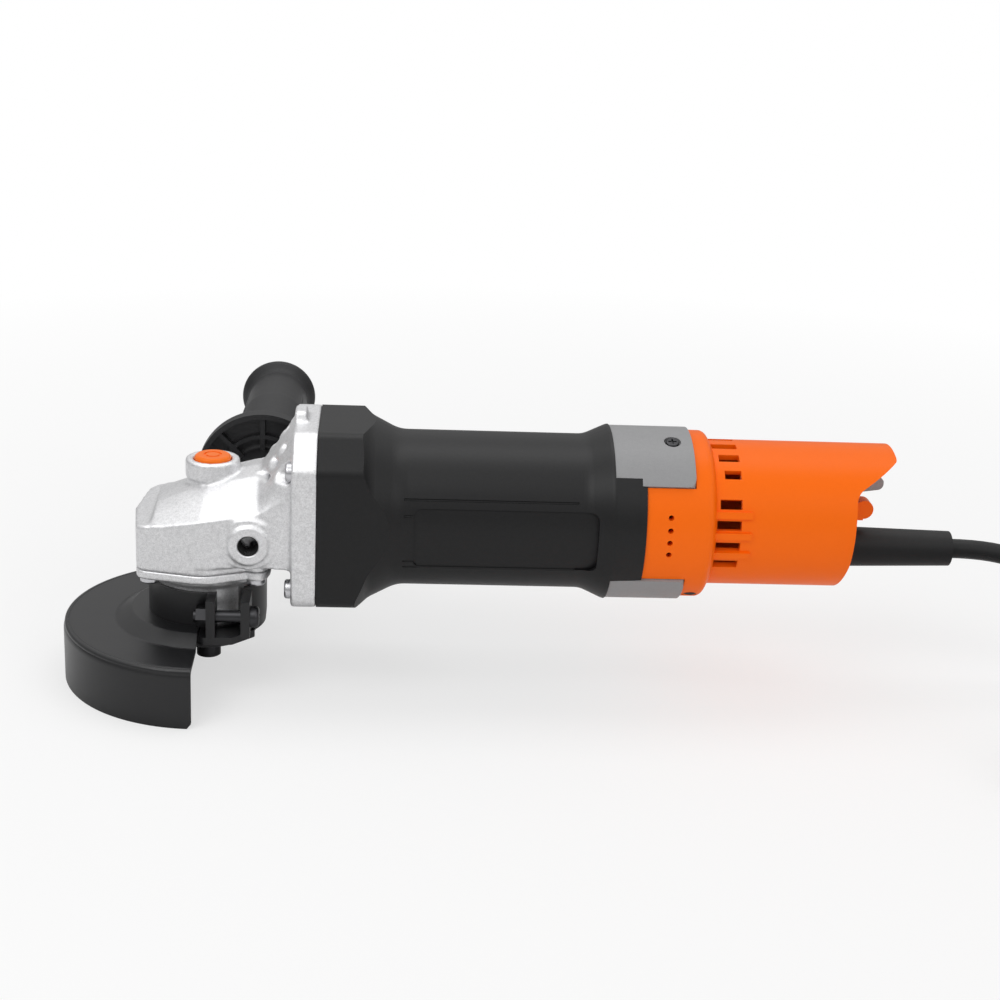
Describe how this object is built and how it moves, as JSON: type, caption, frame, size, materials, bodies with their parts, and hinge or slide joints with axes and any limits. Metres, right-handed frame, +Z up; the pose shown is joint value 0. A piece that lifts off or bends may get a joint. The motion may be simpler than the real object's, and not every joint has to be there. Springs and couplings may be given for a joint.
{
  "type": "angle grinder",
  "caption": "Corded angle grinder: cast gear head with half-round wheel guard and spindle lock, straight motor barrel, rear switch, screw-in side handle, and a lead with its plug.",
  "frame": {"origin": "on the spindle's axis, at the face of the inner flange that a wheel rests on", "axes": "+X from the spindle along the motor to the tail, +Z up along the spindle, away from the wheel"},
  "size_m": [0.5419, 0.2951, 0.1123],
  "materials": {
    "cast_aluminium": "sand-cast, fine grain",
    "steel": "ground",
    "dark_steel": "blackened screws",
    "guard_black": "satin black paint",
    "black_plastic": "fine moulded texture",
    "orange_plastic": "satin moulded",
    "button_orange": "satin moulded",
    "grey_plastic": "satin moulded",
    "grip_black": "fine moulded texture",
    "black_rubber": "moulded",
    "bronze": "sintered",
    "copper": "enamelled wire",
    "laminations": "stacked sheet",
    "carbon": "pressed carbon",
    "white_nylon": "moulded",
    "brass_pins": "nickel plated"
  },
  "bodies": {
    "housing": {"gear_case": "cast_aluminium", "gear_case_screws": "steel", "spindle_top_bush": "bronze", "bearing_cover": "cast_aluminium", "bearing_cover_screws": "steel", "spindle_bearing": "steel", "front_bearing": "steel", "bearing_retainer": "steel", "bearing_retainer_screws": "steel", "motor_housing": "black_plastic", "air_baffle": "black_plastic", "stator_core": "laminations", "stator_screws": "steel", "field_coils": "copper", "rear_bearing": "steel", "rear_bearing_sleeve": "black_rubber", "brush_holders": "bronze", "brushes": "carbon", "brush_springs": "steel", "brush_cover_top": "grey_plastic", "brush_cover_bottom": "grey_plastic", "brush_cover_screws": "dark_steel", "rear_housing": "orange_plastic", "rear_housing_screws": "dark_steel", "switch_body": "black_plastic", "switch_pin": "steel", "cord_sleeve": "black_rubber", "cord_lead": "black_rubber", "cord_clamp": "black_plastic", "cord_clamp_screws": "steel", "cord_tube": "black_rubber", "cord_coil": "black_rubber", "cord_tail": "black_rubber", "coil_tie": "black_rubber", "plug_body": "black_rubber", "plug_pins": "brass_pins"},
    "spindle": {"spindle": "dark_steel", "crown_gear": "steel", "wheel_flange": "dark_steel"},
    "armature": {"armature_shaft": "steel", "pinion": "steel", "pinion_nut": "steel", "armature_core": "laminations", "armature_windings": "copper", "commutator": "copper", "fan": "white_nylon"},
    "lock": {"lock_button": "button_orange", "lock_pin": "steel", "lock_spring": "steel"},
    "guard": {"guard_shell": "guard_black", "guard_collar": "guard_black", "guard_clamp_screw": "dark_steel", "guard_clamp_nut": "dark_steel"},
    "side_handle": {"handle_grip": "grip_black", "handle_stud": "steel"},
    "switch": {"switch_lever": "grey_plastic"}
  },
  "joints": [
    {"name": "spindle_spin", "type": "hinge", "parent": "housing", "child": "spindle", "pos_m": [0, 0, 0.056], "axis": [0, 0, 1], "continuous": true},
    {"name": "armature_spin", "type": "hinge", "parent": "housing", "child": "armature", "pos_m": [0, 0, 0.056], "axis": [1, 0, 0], "continuous": true},
    {"name": "lock_press", "type": "slide", "parent": "housing", "child": "lock", "axis": [0, 0, -1], "range_m": [0, 0.004], "stiffness_N_per_m": 800, "springref_m": -0.003, "deforming": ["lock_spring"]},
    {"name": "guard_turn", "type": "hinge", "parent": "housing", "child": "guard", "pos_m": [0, 0, 0.056], "axis": [0, 0, 1], "range_deg": [-250, 25]},
    {"name": "handle_screw", "type": "hinge", "parent": "housing", "child": "side_handle", "pos_m": [0.0183, 0, 0.0492], "axis": [0, 1, 0], "continuous": true},
    {"name": "switch_tilt", "type": "hinge", "parent": "housing", "child": "switch", "pos_m": [0.252, 0, 0.069], "axis": [0, 1, 0], "range_deg": [0, 16]}
  ],
  "couplings": [
    {"joint": "armature_spin", "follows": "spindle_spin", "ratio": 3.7}
  ]
}
